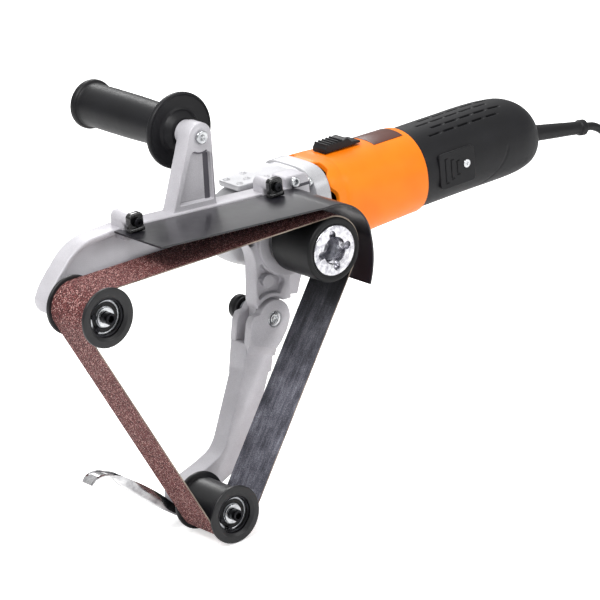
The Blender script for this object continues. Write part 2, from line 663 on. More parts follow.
def wound(per_turn=24):
    """Six clockwise turns: each keeps its lane and layer, then eases into the next one's place over an
    eighth of a turn. Each change comes a little earlier than the one before, so that no turn runs through
    another. The path starts on top of the coil and leaves at floor level, heading for the plug."""
    turn = np.arange(int(TURNS * per_turn) + 1) / per_turn
    radius = np.full_like(turn, LANES[0])
    layer = np.zeros_like(turn)
    for k, ((lane_a, layer_a), (lane_b, layer_b)) in enumerate(zip(PLACES, PLACES[1:])):
        t = np.clip((turn - (FIRST_CHANGE + CHANGE_EVERY * k)) / CHANGE_LASTS, 0, 1)
        step = t * t * (3 - 2 * t)
        radius += step * (LANES[lane_b] - LANES[lane_a])
        layer += step * (layer_b - layer_a)
    landing = np.clip(1 - turn / LANDING_LASTS, 0, 1)
    landing = landing * landing * (3 - 2 * landing)
    radius += landing * (LANDING_RADIUS - LANES[0])
    height = REST_Z + CORD * (2 - layer) + landing * (COIL_TOP + CORD / 2 - REST_Z - 2 * CORD)
    a = np.pi / 2 - 2 * np.pi * turn
    return np.stack([COIL_X + radius * np.cos(a), COIL_Y + radius * np.sin(a), height], -1)


def through(points, samples=8):
    """A smooth curve through hand-placed points: each stretch is a Catmull-Rom cubic of its four nearest."""
    p = np.asarray(points, float)
    p = np.concatenate([[2 * p[0] - p[1]], p, [2 * p[-1] - p[-2]]])
    t = np.linspace(0, 1, samples, endpoint=False)[None, :, None]
    a, b, c, d = p[:-3, None], p[1:-2, None], p[2:-1, None], p[3:, None]
    q = 0.5 * (2 * b + (c - a) * t + (2 * a - 5 * b + 4 * c - d) * t ** 2 + (3 * b - a - 3 * c + d) * t ** 3)
    return np.concatenate([q.reshape(-1, p.shape[1]), p[-2:-1]])


PLUG_X = COIL_X + LANES[1]
PLUG_Z = float(bench(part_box("mains_plug")[0])[2])
coil_path = wound()
TAIL = [(PLUG_X, COIL_Y - away, REST_Z + lift) for away, lift in ((10, 0.3), (20, 1.4), (32, 2.0))]
lead_path = np.concatenate([through(FREE_RUN + [tuple(coil_path[0])], 5)[:-1], coil_path, TAIL])

# %% [markdown]
# The lead is a curve with a round bevel, so Blender itself keeps its section true round every bend. The
# strain relief is a tapered sleeve that ends in a rounded collar, hollowed where the cord comes out.

# %% Lead, strain relief and plug
route = bpy.data.curves.new("power_cord", "CURVE")
route.dimensions = "3D"
route.bevel_depth = CORD / 2 * MM
route.bevel_resolution = 4
route.use_fill_caps = True
spline = route.splines.new("POLY")
spline.points.add(len(lead_path) - 1)
spline.points.foreach_set("co", np.insert(metres(lead_path), 3, 1.0, axis=1).ravel())
lead = bpy.data.objects.new("power_cord", route)
bpy.context.scene.collection.objects.link(lead)
route.materials.append(PVC)
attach(lead, "body")
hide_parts("power_lead", "lead_coil")


def tilted_to(way, at):
    """A matrix that turns a shape made along +Y to lie along another way, and moves it to a point."""
    turn = Vector((0, 1, 0)).rotation_difference(Vector(way))
    return Matrix.Translation(Vector(at)) @ turn.to_matrix().to_4x4()


relief_length = float(np.linalg.norm(RELIEF_END - RELIEF_START))
relief_end = relief_length - np.array([6.6, 5.4, 0.6, 0.0, 0.0, 2.5, 2.5])
sleeve = turned([(0.01, -6), (6.6, -6), (6.6, 8), (6.2, 24), (5.6, 42),
                 *zip((5.4, 6.6, 6.6, 6.0, 3.7, 3.6, 0.01), relief_end)], 0, 0, 48, 0.25)
piece("cord_strain_relief", [moved(sleeve, tilted_to(RELIEF_WAY, RELIEF_START))], PVC, "body",
      ("strain_relief",))


def plug_shells():
    """A moulded plug: superellipse rings along -Y that swell from the cord to a flat-faced grip, and two
    pins, each a rounded blade."""
    stations = np.array([(20, 4.2, 4.2, 2.0), (24, 4.6, 4.6, 2.0), (44, 5.4, 5.4, 2.0), (50, 6.4, 5.6, 2.4),
                         (56, 9.6, 8.0, 3.2), (64, 11.0, 9.0, 3.6), (72, 10.2, 8.6, 3.6),
                         (82, 10.8, 8.8, 3.8), (84, 10.0, 8.0, 3.6)])
    a = np.linspace(0, 2 * np.pi, 48, endpoint=False)
    away, wide, high, power = (stations[:, i:i + 1] for i in range(4))
    x = wide * np.sign(np.cos(a)) * np.abs(np.cos(a)) ** (2 / power)
    z = high * np.sign(np.sin(a)) * np.abs(np.sin(a)) ** (2 / power)
    lift = np.interp(away, (20, 50, 56, 84), (5.6, 5.8, 9.0, 9.0))
    grid = np.stack([PLUG_X + x, COIL_Y - away + 0 * a, PLUG_Z + lift + z], -1)
    body = shell(grid, caps=True)
    pins = [plate(stretched((PLUG_X + side, PLUG_Z + 7.2, 0.8), (PLUG_X + side, PLUG_Z + 10.8, 0.8),
                            count=24), COIL_Y - 101, COIL_Y - 83, 0.4, slot=1) for side in (-6, 6)]
    return [body, *pins]


plug = piece("moulded_mains_plug", plug_shells(), [PVC, ZINC], "body", ("mains_plug",))

# %% [markdown]
# ## The belt
#
# The belt is 760 mm of cloth, 40 mm wide and 1 mm thick, pulled tight round three wheels. Its centre line is
# the tight string round three circles, read off at even steps; its section has three kinds of surface: grit
# outside, cloth inside and a pale cut edge with a little fray.

# %% Abrasive belt
DRIVE_RADIUS, ROLLER_RADIUS, SKIN = 25.0, 18.6, 0.15
BELT_THICK, BELT_NEAR, BELT_WIDTH = 1.0, 3.2, 40.0
SPLICE_FROM_WHEEL = 205.0                      # the glued joint lies low on the rear run


def even(loop, spacing):
    """Points a fixed distance apart round a closed loop, read off its running length."""
    closed = np.concatenate([loop, loop[:1]])
    run = np.concatenate([[0], np.cumsum(np.linalg.norm(np.diff(closed, axis=0), axis=1))])
    at = np.linspace(0, run[-1], int(round(run[-1] / spacing)), endpoint=False)
    return np.stack([np.interp(at, run, closed[:, i]) for i in range(2)], -1), float(run[-1])


def belt_loop():
    """The inner face's line, starting at the splice, and its length."""
    loop, length = even(stretched((0, 0, DRIVE_RADIUS + SKIN), (FRONT_X, FRONT_Z, ROLLER_RADIUS + SKIN),
                                  (LOWER_X, LOWER_Z, ROLLER_RADIUS + SKIN), count=720), 1.5)
    return np.roll(loop, int(SPLICE_FROM_WHEEL / length * len(loop)), axis=0), length


def make_belt():
    """Section (across y, out from the inner face) carried round the loop; faces keep their place along and
    across in a UV map, whose seam is the splice."""
    loop, length = belt_loop()
    count = len(loop)
    across = np.linspace(0, BELT_WIDTH, 15)
    section = np.concatenate([
        np.stack([across, np.full(15, BELT_THICK)], -1), [[BELT_WIDTH + 0.05, BELT_THICK / 2]],
        np.stack([across[::-1], np.zeros(15)], -1), [[-0.05, BELT_THICK / 2]]])
    slots = np.array([0] * 14 + [2, 2] + [1] * 14 + [2, 2])
    fray = np.random.default_rng(7).normal(0, 0.05, count)
    rings = []
    for y, out in section:
        line_here = inset(loop, -out)
        rings.append(np.insert(line_here, 1, BELT_NEAR + y + fray * (y < 1 or y > BELT_WIDTH - 1), axis=1))
    grid = np.stack(rings)
    rows = len(section)
    r, c = np.meshgrid(np.arange(rows), np.arange(count), indexing="ij")
    r, c = r.ravel(), c.ravel()
    corners_r = np.stack([r, r, (r + 1) % rows, (r + 1) % rows], -1)
    corners_c = np.stack([c, c + 1, c + 1, c], -1)
    faces = corners_r * count + corners_c % count
    points = metres(grid.reshape(-1, 3))
    a, b, d = points[faces[:, 0]], points[faces[:, 1]], points[faces[:, 3]]
    middle = points[faces].mean(1)
    if np.einsum("ij,ij->", middle - points.mean(0), np.cross(b - a, d - a)) < 0:
        faces, corners_r, corners_c = faces[:, ::-1], corners_r[:, ::-1], corners_c[:, ::-1]
    mesh = bpy.data.meshes.new("sanding_belt")
    mesh.from_pydata(points, [], faces.tolist())
    band = mesh.uv_layers.new(name="band")
    flat = np.stack([corners_c * (length / count) * MM, section[corners_r, 0] * MM], -1)
    band.data.foreach_set("uv", flat.reshape(-1, 2).ravel())
    mesh.polygons.foreach_set("material_index", slots[r])
    mesh.polygons.foreach_set("use_smooth", np.ones(len(r), bool))
    mesh.set_sharp_from_angle(angle=math.radians(50))
    belt = bpy.data.objects.new("sanding_belt", mesh)
    bpy.context.scene.collection.objects.link(belt)
    for surface in (GRIT, CLOTH, CUT_EDGE):
        mesh.materials.append(surface)
    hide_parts("abrasive_belt")
    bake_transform(belt)
    print("belt length", round(length), "mm; faces", len(r))


make_belt()

# %% [markdown]
# ## Rollers
#
# Each idler is an aluminium drum with two flanges. From the open side one sees the flange, a circlip in its
# groove, the bearing's bright ring deep inside, a zinc washer, and the axle bolt with its hexagon socket.

# %% Rollers, bearings, circlips and axle bolts
def drum_profile():
    """Outside, from the near flange to the far one, then back inside through the bearing's seat."""
    return [(16.3, 0.6), (17.2, 0), (21.8, 0), (22.5, 0.7), (22.5, 2.4), (21.9, 3.0), (18.6, 3.15),
            (18.6, 43.25), (21.9, 43.4), (22.5, 44.0), (22.5, 45.7), (21.8, 46.4), (8.5, 46.4), (8.5, 20.3),
            (13.3, 20.3), (13.3, 3.6), (15.2, 3.6), (15.2, 2.4), (14.6, 2.4), (14.6, 1.6)]


def circlip(x, z, gap_at):
    """An internal circlip: a ring with a gap, and two eyes with holes for the pliers beside the gap."""
    half_gap = 13
    eyes = [(x + 11.9 * math.cos(math.radians(gap_at + side * 24)),
             z + 11.9 * math.sin(math.radians(gap_at + side * 24))) for side in (-1, 1)]
    ring = line(arc(x, z, 14.9, gap_at + half_gap, gap_at + 360 - half_gap, 60),
                arc(*eyes[0], 2.4, gap_at - 60, gap_at - 240, 10),
                arc(x, z, 13.0, gap_at + 326, gap_at + 34, 50),
                arc(*eyes[1], 2.4, gap_at + 240, gap_at + 60, 10))
    holes = [arc(ex, ez, 1.0, 0, 345, 14) for ex, ez in eyes]
    return plate(ring, 2.7, 3.3, 0.2, through=holes)


def make_roller(spot, x, z, gap_at, unit, axle_unit):
    """Drum, bearing with its seal, circlip, washer and axle bolt; the last two stay with the axle's body."""
    piece(f"{spot}_idler_drum", [turned(drum_profile(), x, z, 128, 0.45, closed=True)], ROLLERS[spot], unit,
          (f"{spot}_roller",), 30)
    seat = [(5.2, 20), (13, 20), (13, 4.8), (11.5, 4.8), (11.2, 5.4), (8.2, 5.4), (7.9, 4.8), (5.2, 4.8)]
    seal = [(8.3, 5.0), (11.1, 5.0), (11.1, 5.6), (8.3, 5.6)]
    piece(f"{spot}_idler_bearing", [turned(seat, x, z, 96, 0.2, closed=True),
                                    turned(seal, x, z, 96, 0.1, closed=True, slot=1)],
          [STEEL, RUBBER], unit, (f"{spot}_roller_bearing",))
    piece(f"{spot}_idler_circlip", [circlip(x, z, gap_at)], BLACK_STEEL, unit, (f"{spot}_circlip",))
    rim = [(3.5, 4.5), (7.4, 4.5), (7.4, 3.3), (3.5, 3.3)]
    piece(f"{spot}_idler_washer", [turned(rim, x, z, 64, 0.25, closed=True)], ZINC, axle_unit,
          (f"{spot}_axle_washer",))
    shaft = turned([(0.01, 72), (2.9, 72), (2.9, 47.2), (4.9, 47.2), (4.9, 4.8), (3.1, 4.8), (3.1, 0.2),
                    (0.01, 0.2)], x, z, 48, 0.3)
    head = socket_head(x, 3.0, z, 4.4, 6.0, 2.5)
    piece(f"{spot}_idler_axle_bolt", [shaft, head], BLACK_STEEL, axle_unit, (f"{spot}_axle_bolt",))


make_roller("front", FRONT_X, FRONT_Z, 190, "front_roller_unit", "body")
make_roller("lower", LOWER_X, LOWER_Z, 215, "lower_roller_unit", "tension_arm_unit")

# %% [markdown]
# ## Drive wheel
#
# The driven wheel is a rubber tyre on a bright die-cast core. The core's face has a deep bowl with four round
# lobes, where a tool can grip it. Its edge is a polar curve: at each angle, the larger of the bowl's radius
# and the far side of the nearest lobe's circle, d cos a + sqrt(q^2 - d^2 sin^2 a).

# %% Tyre, core and centre screw
LOBE_AT, LOBE_RADIUS, BOWL_RADIUS, LOBE_TURN = 12.4, 3.1, 10.4, math.radians(4)


def lobed(a):
    """The recess's outline as a radius for each angle."""
    off = (a - LOBE_TURN + np.pi / 4) % (np.pi / 2) - np.pi / 4
    inside = np.maximum(LOBE_RADIUS ** 2 - (LOBE_AT * np.sin(off)) ** 2, 0)
    reach = LOBE_AT * np.cos(off) + np.sqrt(inside)
    return np.where(inside > 0, np.maximum(reach, BOWL_RADIUS), BOWL_RADIUS)


def core_shell():
    """Rings from the core's back, round the rim, over the face, and down into the lobed bowl."""
    a = np.linspace(0, 2 * np.pi, 288, endpoint=False)
    edge, ones = lobed(a), np.ones(288)
    bowl = [10.0, 9.9, 9.6, 8.6, 6.0, 0.05]
    depth = [7.0, 13.0, 17.0, 19.2, 20.4, 20.8]
    radii = [6.3 * ones, 19.5 * ones, 19.5 * ones, 19.3 * ones, 18.9 * ones, 18.4 * ones, edge + 0.55,
             edge + 0.2, edge, edge - 0.1] + [r * ones for r in bowl]
    ys = [46, 46, 0.7, 0.25, 0.0, 0.0, 0.0, 0.15, 0.6, 6.2] + depth
    radii[10] = np.minimum(edge - 0.3, 10.2)
    grid = np.stack([np.stack([r * np.cos(a), np.full(288, y), r * np.sin(a)], -1)
                     for r, y in zip(radii, ys)])
    return shell(grid)


piece("bright_wheel_core", [core_shell()], DIE_CAST, "spindle_unit", ("drive_wheel_core",), 42)
tread = [(DRIVE_RADIUS - 5.2, 45.5), (DRIVE_RADIUS - 0.8, 45.5), (DRIVE_RADIUS, 44.6), (DRIVE_RADIUS, 1.7),
         (DRIVE_RADIUS - 1.3, 0.3), (DRIVE_RADIUS - 3.3, 0.3), (DRIVE_RADIUS - 3.8, 1.0),
         (DRIVE_RADIUS - 5.2, 0.9)]
piece("rubber_tyre", [turned(tread, 0, 0, 160, 0.7, closed=True)], RUBBER, "spindle_unit",
      ("drive_wheel_tyre",))
piece("wheel_centre_screw", [turned([(0.01, 29), (2.2, 29), (2.2, 20.9), (0.01, 20.9)], 0, 0, 32, 0.2),
                             socket_head(0, 20.7, 0, 4.0, 2.6, 2.0)],
      STEEL, "spindle_unit", ("drive_wheel_screw",))

# %% [markdown]
# ## Belt guard
#
# The guard is 1.5 mm sheet: a flat top that falls gently towards the wheel, a curl round the wheel, and a
# tail. Its side view is that line with a thickness, so one thick outline makes it. Two small ears are folded
# up from it and take the screws; they are dipped rather than sprayed, so their enamel is thick and glossy.

# %% Bent guard and its ears
RAIL_SLOPE = 0.084
GUARD_SCREWS = (("front", -146.5, 55.5, 48.8), ("rear", -13.5, 44.5, 52.2))
SHEET = 1.5


def rail_top(x):
    """Height of the rail's top edge, which falls towards the wheel."""
    return 36.7 - RAIL_SLOPE * x


def sheet_line(offset):
    """The guard's inner line moved out by an offset: flat top, curl and tail."""
    slope = math.degrees(math.atan(RAIL_SLOPE))
    return line([(-157.5, 47.2 + offset), (-120, 47.2 + offset - 37.5 * RAIL_SLOPE)],
                arc(0.6, -0.6, 34.8 + offset, 90 + slope, 4, 40), arc(-36, -8.5, 72.0 + offset, 8, -22.5, 16))


def ear(x, z, face):
    """A folded tab with clipped corners, a screw hole, and a soft bulge of enamel round its foot."""
    tab = eased([(x - 6.4, rail_top(x) - 1.4), (x - 6.4, z + 4.6), (x - 4.2, z + 6.9), (x + 4.2, z + 6.9),
                 (x + 6.4, z + 4.6), (x + 6.4, rail_top(x) - 1.4)], 1.2)
    hole = arc(x, z, 2.4, 0, 345, 24)
    foot = eased([(x - 7.0, rail_top(x) - 1.2), (x - 6.6, rail_top(x) + 2.6), (x + 6.6, rail_top(x) + 2.6),
                  (x + 7.0, rail_top(x) - 1.2)], 1.0)
    return [plate(tab, face - 5.6, face - 0.3, 0.9, through=[hole], slot=1),
            plate(foot, face - 6.6, face - 0.3, 1.2, slot=1)]


sheet_outline = line(sheet_line(SHEET), sheet_line(0)[::-1])
guard_shells = [plate(sheet_outline, 0.0, 57.6, 0.45)]
for _, *screw in GUARD_SCREWS:
    guard_shells += ear(*screw)
piece("bent_belt_guard", guard_shells, [ENAMEL, GLOSS_ENAMEL], "body", ("belt_guard",), 32)
for label, x, z, face in GUARD_SCREWS:
    shank = turned([(0.01, face + 12), (2.0, face + 12), (2.0, face - 6.4), (0.01, face - 6.4)], x, z, 32, 0.1)
    head = socket_head(x, face - 6.3, z, 3.6, 2.5, 1.6, shape=crosswise, depth=0.7)
    piece(f"ear_screw_{label}", [shank, head], BLACK_STEEL, "body", (f"guard_screw_{label}",))

# %% [markdown]
# ## Side handle
#
# The handle is one moulding, turned about its bolt: a grip with a flared end, a thin hand guard with a rolled
# rim, and a hub that meets the casting's boss.

# %% Handle
HANDLE_PROFILE = [(0.01, 121.4), (12.6, 121.4), (13.6, 120.6), (17.2, 120.6), (18.8, 119.6), (19.3, 118.0),
                  (19.3, 115.6), (18.6, 114.2), (17.3, 113.2), (16.7, 111), (16.9, 90), (16.8, 60), (15.9, 20),
                  (16.0, 13), (17.0, 10.4), (26.6, 9.0), (27.6, 9.6), (29.0, 9.4), (29.4, 8.4), (29.4, 6.4),
                  (28.8, 5.2), (27.8, 5.0), (27.0, 5.8), (18.4, 6.4), (16.2, 5.6), (15.6, 4.2), (12.6, 0.7),
                  (11.8, 0.0), (4.6, 0.0), (4.4, 30), (0.01, 30)]
handle_profile = [(r, HANDLE_NEAR + y) for r, y in HANDLE_PROFILE]
piece("auxiliary_handle", [turned(handle_profile, HANDLE_X, HANDLE_Z, 144, 0.5)], GRIP_NYLON, "body",
      ("side_handle",), 50)

# %% [markdown]
# ## Frame casting
#
# One pressure casting carries everything: the curved front arm with its boss, the rail under the guard, the
# ring that clamps the gear head, the leg with its hinge tongue, and the tapered post for the handle. It is
# built from thick outlines with pockets, and turned bosses that sink into them. The paint's finish softens the
# lines where they meet, as the fillets of a casting do.

# %% Frame casting
def frame_shells():
    """Rail and front arm, leg and tongue, clamp ring, handle post, axle boss, guard feet and clamp lug."""
    front_arm = line(arc(FRONT_X, FRONT_Z, 12.5, 250, 172, 14),
                     eased([(-222.2, 11.5), (-218, 19.5), (-209.5, 28.8), (-205.5, 32.5)], 5, 6, False),
                     arc(-172, 6, 42.5, 140, 96, 24),
                     [(-150, rail_top(-150)), (8, rail_top(8)), (8, 18), (-28, 18)],
                     eased([(-50, 16), (-66, 17), (-120, 14), (-165, 13), (-184, 9), (-197, 1)], 7, 6, False))
    near_pocket = eased(line(arc(-172, 6, 38.6, 148, 98, 20), [(-150, 45.2), (-108, 41.6), (-106, 19),
                                                             (-165, 18), (-188, 15), (-198, 17)]), 1.5, 3)
    far_pockets = [(eased([(-150, 44.5), (-112, 41.6), (-112, 30), (-152, 30.5)], 3), 69.5),
                   (eased([(-108, 41), (-44, 35.6), (-44, 22), (-62, 24.6), (-108, 29.4)], 3), 69.5)]
    shells = [plate(front_arm, 58.2, 75.6, 1.3, [(near_pocket, 64.5)], far_pockets)]

    leg_outline = line(eased([(-52, 24), (-40.5, 7), (-33, -8), (-36.4, -44)], 9, 6, False),
                       arc(PIVOT_X, PIVOT_Z, 16.4, 139, 41, 22),
                       eased([(-2.5, -50), (-1, -20), (12, 10), (-4, 30)], 6, 6, False))
    leg_pocket = eased(line([(-33.0, -37.5), (-30.6, -18)], arc(0, 0, 31.3, 208, 251, 14), [(-6.5, -34)],
                            arc(PIVOT_X, PIVOT_Z, 20.0, 60, 120, 14)), 2.4, 4)
    corner_pocket = eased([(-43, 15), (-30.5, 12), (-33.2, 1), (-36.5, 2)], 2.5)
    shells.append(plate(leg_outline, 55.5, 69.0, 1.0, [(leg_pocket, 61), (corner_pocket, 61)]))
    shells.append(turned([(0.01, 62), (5.0, 62), (5.2, 55.9), (4.4, 55.5), (0.01, 55.5)], PIVOT_X, -30.6, 48))

    tongue = stretched((PIVOT_X, PIVOT_Z, 12.4), (PIVOT_X, -38, 11.5))
    shells.append(plate(tongue, 59.6, 68.6, 0.5, through=[arc(PIVOT_X, PIVOT_Z, 4.3, 0, 350, 36)]))
    shells.append(turned([(21.3, 52), (30.4, 52), (30.5, 76.2), (21.3, 76.2)], 0, 0, 144, 0.8, closed=True))
    rib = eased([(7, -26), (20, -22), (19.5, -38), (13, -54), (5, -52)], 1.5)
    shells.append(plate(rib, 67.5, 73, 0.8))
    web = eased([(-8, -28), (9, -26), (7, -50), (-8, -50)], 1)
    shells.append(plate(web, 69.4, 72, 0.2, slot=1))

    post = line(eased([(-104, 40), (-100, 46), (-82.2, 92)], 4, 5, False),
                arc(HANDLE_X, HANDLE_Z, 10.8, 162, 8, 36),
                eased([(-58.2, 94), (-60, 42), (-58, 38)], 4, 5, False))
    panel = eased(line([(-93.6, 49.4), (-79.2, 84.0)], arc(HANDLE_X, HANDLE_Z, 12.6, 232, 288, 12),
                       [(-61.4, 82), (-62.4, 46.6)]), 1.2, 3)
    shells.append(plate(post, 60.6, 74.6, 1.1, [(panel, 63.2)]))
    groove = [(-66.8, 84.2), (-62.2, 83.0), (-64.0, 46.8), (-68.6, 47.2)]
    shells.append(plate(eased(groove, 0.8), 62.9, 64.0, 0.1, slot=1))
    eyebrow = line(arc(HANDLE_X, HANDLE_Z, 12.9, 236, 292, 14), arc(HANDLE_X, HANDLE_Z, 11.6, 292, 236, 14))
    shells.append(plate(eyebrow, 60.4, 62.0, 0.2, slot=1))
    shells.append(turned([(4.3, 60.2), (6.6, 60.2), (9.4, 60.8), (9.8, 62), (9.8, 79.4), (4.3, 79.4)],
                         HANDLE_X, HANDLE_Z, 96, 0.6, closed=True))
    shells.append(turned([(3.2, 47.4), (8.9, 47.4), (9.2, 57), (9.0, 77), (3.2, 77)], FRONT_X, FRONT_Z, 72,
                         0.5, closed=True))
    for _, x, z, face in GUARD_SCREWS:
        foot = stretched((x, z, 4.9), (x, z - 12, 5.4), count=48)
        shells.append(plate(foot, face + 5.2, 70, 1.6))
        shells.append(turned([(2.3, face), (4.9, face), (5.2, 66), (2.3, 66)], x, z, 48, 0.4, closed=True))
    lug = eased([(4, 24), (4, 44.3), (24, 43.6), (27, 38), (27, 24)], 2.4)
    shells.append(plate(lug, 58.4, 75.2, 1.2))
    shells.append(plate(eased([(10, 33.9), (27.1, 33.2), (27.1, 35.6), (10, 36.3)], 0.6), 58.3, 60.5, 0.1,
                        slot=1))
    return shells


SHADOW_GAP = moulded("dark_casting_groove", "4A484F", "5A585F", 0.6, 0.8, 0.02)
piece("cast_tool_frame", frame_shells(), [CASTING, SHADOW_GAP], "body", ("frame_casting",), 34)
bolt_end = socket_head(HANDLE_X, 60.1, HANDLE_Z, 5.2, 2.4, 1.9, depth=0.2)
piece("handle_fixing_bolt", [bolt_end, turned([(0.01, 60), (4.0, 60), (4.0, 108), (0.01, 108)], HANDLE_X,
                                              HANDLE_Z, 32, 0.2)], ZINC, "body", ("handle_bolt",))
clamp_head = socket_head(11.5, 58.1, 39.3, 4.0, 3.4, 1.9, depth=0.6)
piece("clamp_pinch_bolt", [clamp_head, turned([(0.01, 58.2), (2.0, 58.2), (2.0, 69), (0.01, 69)], 11.5, 39.3,
                                              24, 0.1)], ZINC, "body", ("clamp_bolt",))

# %% [markdown]
# ## Tension arm
#
# The swinging arm is a second casting: two ears that straddle the frame's tongue, a long tapering beam set
# back from the near ear by a step, a bend, and a boss for the lower axle. A lug at the bend holds the lever.

# %% Tension arm
def wedge(corners, near, far):
    """A sloping step: its upper edge is at the near depth, and its face falls back to the far depth below."""
    a, b, c, d = corners
    front = [(*a, near), (*b, near), (*c, far), (*d, far)]
    rows = [[(x, y, z) for x, z, y in front], [(x, far + 3, z) for x, z in corners]]
    return shell(np.array(rows), caps=True)


def arm_shells():
    """Two ears, the shoulder and its step, the beam, the lower axle's boss and spacer, and the lever's lug."""
    ear_outline = eased(line([(-49.2, -74.2), (-45.6, -58), (-42.2, -53)],
                             arc(PIVOT_X, PIVOT_Z, 15.1, 150, -20, 40),
                             [(-11.6, -72), (-17.5, -79.5), (-23.4, -84.6)]), 1.2, 3)
    pin_hole = arc(PIVOT_X, PIVOT_Z, 6.3, 0, 350, 40)
    near_ear = plate(ear_outline, 52.2, 59.2, 0.9, through=[pin_hole])
    far_ear = plate(ear_outline, 69.4, 76.2, 0.9, through=[arc(PIVOT_X, PIVOT_Z, 4.3, 0, 350, 30)])
    shoulder = plate(eased([(-49, -73.4), (-22, -81.5), (-27, -103), (-54.5, -100)], 1.5), 56.8, 75.4, 0.8)
    step = wedge([(-49.0, -73.8), (-23.6, -84.4), (-22.6, -91.4), (-48.4, -83.2)], 52.4, 56.9)
    beam_outline = eased([(-47, -80), (-22.5, -86), (-53, -156.5), (-63, -167.5), (-110, -187.5), (-122, -170),
                          (-118, -166), (-96, -159.5), (-82.5, -154), (-76.5, -147)], 4, 6)
    beam_pocket = eased([(-44, -100), (-36.5, -102.5), (-61, -151), (-68, -146)], 3)
    beam = plate(beam_outline, 56.6, 73.6, 0.9, far_pockets=[(beam_pocket, 69.5)])
    end = turned([(3.2, 56), (11.2, 56), (11.5, 74), (3.2, 74)], LOWER_X, LOWER_Z, 96, 0.8, closed=True)
    spacer = turned([(3.2, 47.4), (8.8, 47.4), (9.1, 60), (3.2, 60)], LOWER_X, LOWER_Z, 72, 0.4, closed=True)
    lug = plate(stretched((LEVER_X, LEVER_Z, 5.4), (-104, -175, 9)), 58, 72, 1.0,
                through=[arc(LEVER_X, LEVER_Z, 2.6, 0, 350, 24)])
    return [near_ear, far_ear, shoulder, step, beam, end, spacer, lug]


piece("cast_tension_arm", arm_shells(), CASTING, "tension_arm_unit", ("tension_arm",), 34)
pin_body = turned([(0.01, 96), (4, 96), (4, 55.2), (6.0, 55.2), (6.0, 54.0), (0.01, 54.0)],
                  PIVOT_X, PIVOT_Z, 48, 0.2)
pin_head = socket_head(PIVOT_X, 54.2, PIVOT_Z, 6.0, 1.7, 2.6, depth=0.8)
piece("arm_pivot_bolt", [pin_body, pin_head], ZINC, "body", ("pivot_pin",))
cap_profile = [(0.01, 98.6), (8.4, 98.6), (9.7, 97.4), (9.7, 92.6), (8.6, 91.6), (8.6, 90.2), (9.4, 89.4),
               (9.4, 88), (4.3, 88), (4.3, 96.2), (0.01, 96.2)]
piece("pivot_end_cap", [turned(cap_profile, PIVOT_X, PIVOT_Z, 96, 0.4)], SWITCH_NYLON, "body", ("pivot_cap",))

# %% [markdown]
# ## Springs
#
# A wire follows its centre line. Each section is turned square to the line, so the wire keeps its gauge.

# %% Springs and pins of the arm
def wire(points, gauge, sides=12, slot=0):
    """A round wire along a smooth line of points."""
    path = through(points, 3)
    way = np.gradient(path, axis=0)
    way /= np.linalg.norm(way, axis=1)[:, None]
    side = np.cross(way, (0.31, 0.92, 0.24))
    side /= np.linalg.norm(side, axis=1)[:, None]
    up = np.cross(way, side)
    a = np.linspace(0, 2 * np.pi, sides, endpoint=False)[None, :, None]
    grid = path[:, None] + (side[:, None] * np.cos(a) + up[:, None] * np.sin(a)) * gauge / 2
    return shell(grid, caps=True, slot=slot)


COIL_TURNS = 4
turn = np.radians(250) + 2 * np.pi * COIL_TURNS * np.linspace(0, 1, 81)
coil = np.stack([PIVOT_X + 7.0 * np.cos(turn), 78.0 + 8.4 * np.linspace(0, 1, 81),
                 PIVOT_Z + 7.0 * np.sin(turn)], -1)
first_leg = [(coil[0][0] - 9, 78.0, coil[0][2] - 17), (coil[0][0] - 5, 78.0, coil[0][2] - 8)]
last_leg = [(coil[-1][0] + 7, coil[-1][1], coil[-1][2] - 2.6)]
piece("arm_torsion_spring", [wire(np.concatenate([first_leg, coil, last_leg]), 1.7)], SPRING, "body",
      ("torsion_spring",))

# %% [markdown]
# ## Release lever
#
# The lever is a pressed channel: one sheet whose floor follows a line and whose two flanges stand up from it.
# A section of the sheet, 1.4 mm thick, is swept along the floor line. The flange height and the channel's
# width change on the way, and at the far end both run out into a curled finger tab.

# %% Release lever
LEVER_FLOOR = [(-90, -195.4), (-104, -196.0), (-118, -193.8), (-133, -185.5), (-148, -172.5), (-160, -162.0),
               (-169, -153.0), (-174.5, -146.0), (-181, -140.6), (-188.5, -137.6), (-195.5, -138.0),
               (-200, -141.5)]
FLANGE_HEIGHTS = (13.5, 13.0, 5.0, 7.0, 8.5, 8.5, 7.0, 4.5, 2.0, 1.5, 1.5, 1.5)
HALF_WIDTHS = (11.3, 11.3, 11.3, 11.3, 11.3, 11.2, 10.6, 9.0, 7.6, 7.2, 7.0, 6.4)
LEVER_MIDDLE, LEVER_SHEET = 66.0, 1.4


def channel():
    """The lever's section at every step of its floor line, as one closed ring of points."""
    table = through([(x, z, h, w) for (x, z), h, w in zip(LEVER_FLOOR, FLANGE_HEIGHTS, HALF_WIDTHS)], 8)
    way = np.gradient(table[:, :2], axis=0)
    way /= np.linalg.norm(way, axis=1)[:, None]
    rows = []
    for (x, z, height, half), (tx, tz) in zip(table, way):
        nx, nz = tz, -tx
        inner = half - LEVER_SHEET
        section = [(-half, 1.6), (-half + 0.5, 0.5), (-half + 1.6, 0), (half - 1.6, 0), (half - 0.5, 0.5),
                   (half, 1.6), (half, height), (inner, height), (inner, LEVER_SHEET + 0.8),
                   (inner - 0.8, LEVER_SHEET), (-inner + 0.8, LEVER_SHEET), (-inner, LEVER_SHEET + 0.8),
                   (-inner, height), (-half, height)]
        rows.append([(x + nx * rise, LEVER_MIDDLE + across, z + nz * rise) for across, rise in section])
    return shell(np.array(rows), caps=True)


